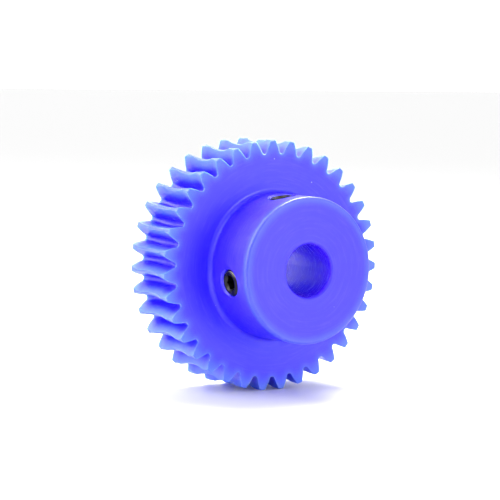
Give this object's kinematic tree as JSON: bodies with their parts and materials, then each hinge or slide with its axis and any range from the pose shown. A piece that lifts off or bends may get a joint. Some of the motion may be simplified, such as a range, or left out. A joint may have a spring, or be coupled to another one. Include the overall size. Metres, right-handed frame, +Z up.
{
  "type": "worm gear wheel",
  "caption": "Blue nylon worm wheel with throated helical teeth and a side hub, bored for a shaft and clamped by socket set screws at right angles.",
  "frame": {"origin": "on the bore axis, in the middle of the toothed rim's width", "axes": "Y along the bore with the hub towards -Y; +Z up as the wheel stands on its teeth, a tooth gap straight down; +X to the right when the hub faces the viewer"},
  "size_m": [0.038, 0.02, 0.038],
  "materials": {
    "blue_nylon": "machined nylon, satin, slightly translucent",
    "black_oxide_steel": "black oxide, satin"
  },
  "bodies": {
    "wheel": {"worm_wheel": "blue_nylon"},
    "top_screw": {"set_screw_top": "black_oxide_steel"},
    "side_screw": {"set_screw_side": "black_oxide_steel"}
  },
  "joints": [
    {"name": "top_screw_travel", "type": "slide", "parent": "wheel", "child": "top_screw", "axis": [-0.1736, 0, 0.9848], "range_m": [-0.0024, 0.0052]},
    {"name": "side_screw_travel", "type": "slide", "parent": "wheel", "child": "side_screw", "axis": [-0.9848, 0, -0.1736], "range_m": [-0.0024, 0.0052]}
  ]
}
